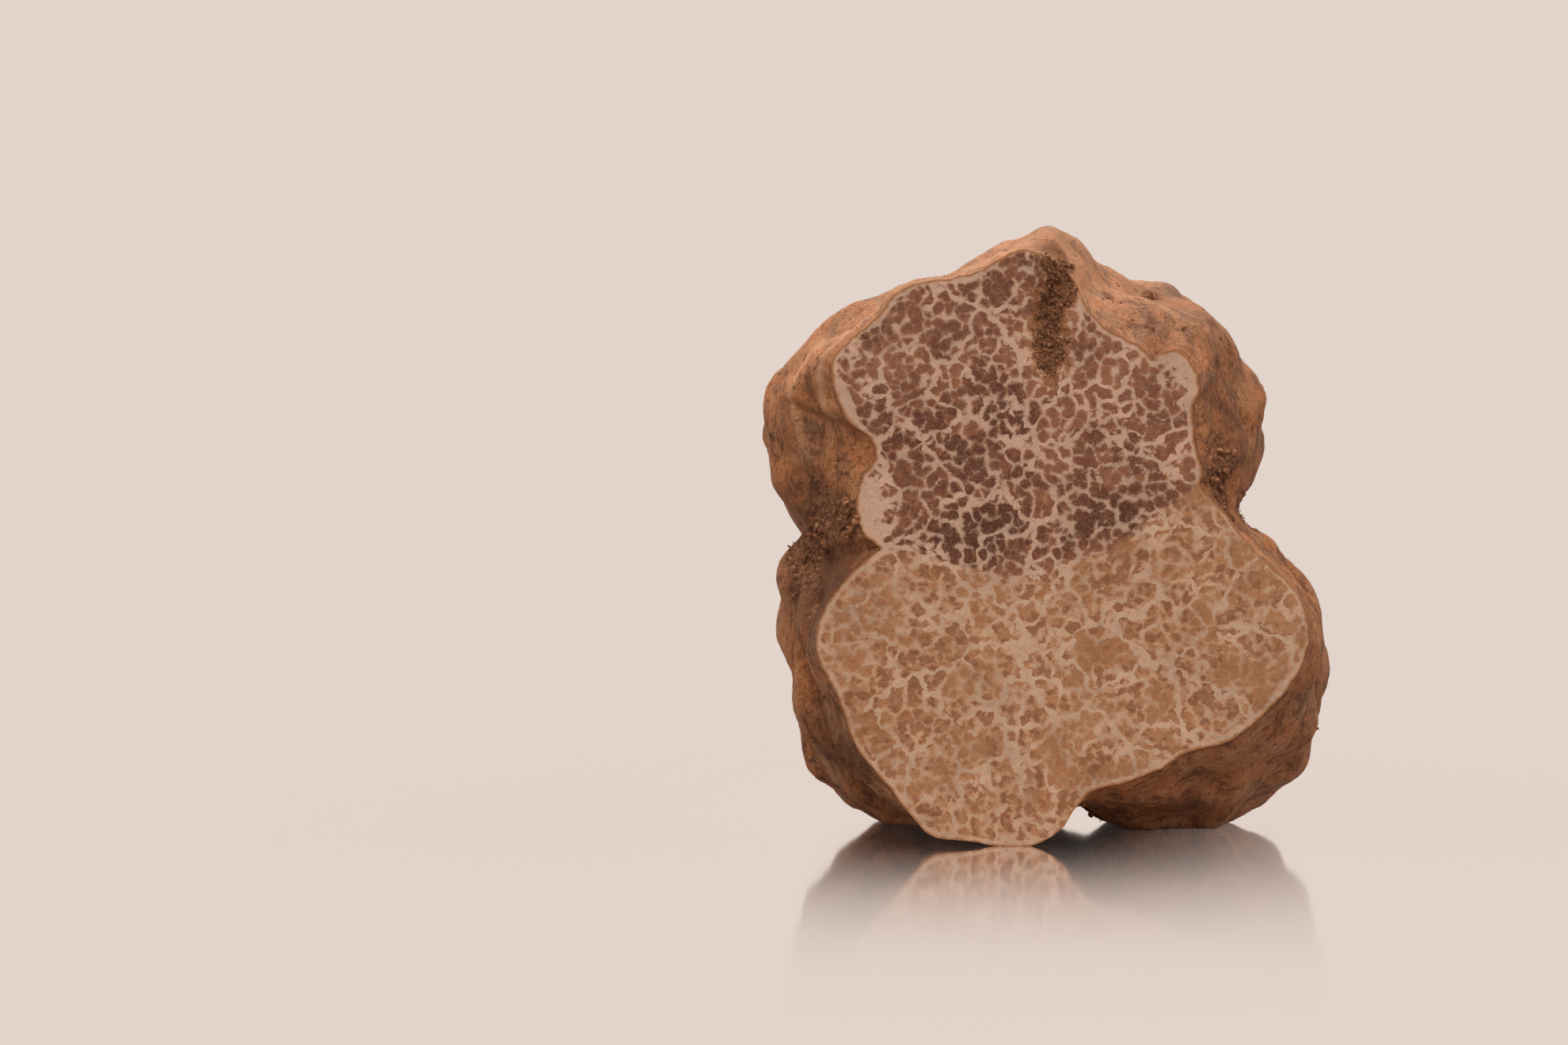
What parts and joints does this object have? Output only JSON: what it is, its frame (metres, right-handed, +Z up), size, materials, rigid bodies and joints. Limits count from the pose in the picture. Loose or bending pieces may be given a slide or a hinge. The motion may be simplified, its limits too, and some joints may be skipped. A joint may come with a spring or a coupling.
{
  "type": "white truffle",
  "caption": "White truffle cut flat across the front, with marbled flesh, a soil-filled cleft and a lobed, furrowed skin all round the back.",
  "frame": {"origin": "centre of the bounding box at the bottom, on the surface that the truffle stands on", "axes": "+Z up, -Y out of the flat knife cut, +X to the right as the cut is looked at"},
  "size_m": [0.0744, 0.0586, 0.0784],
  "materials": {
    "truffle": "matt, dry, slightly gritty skin, and matt moist cut flesh"
  },
  "bodies": {
    "root": {"truffle": "truffle"}
  },
  "joints": []
}
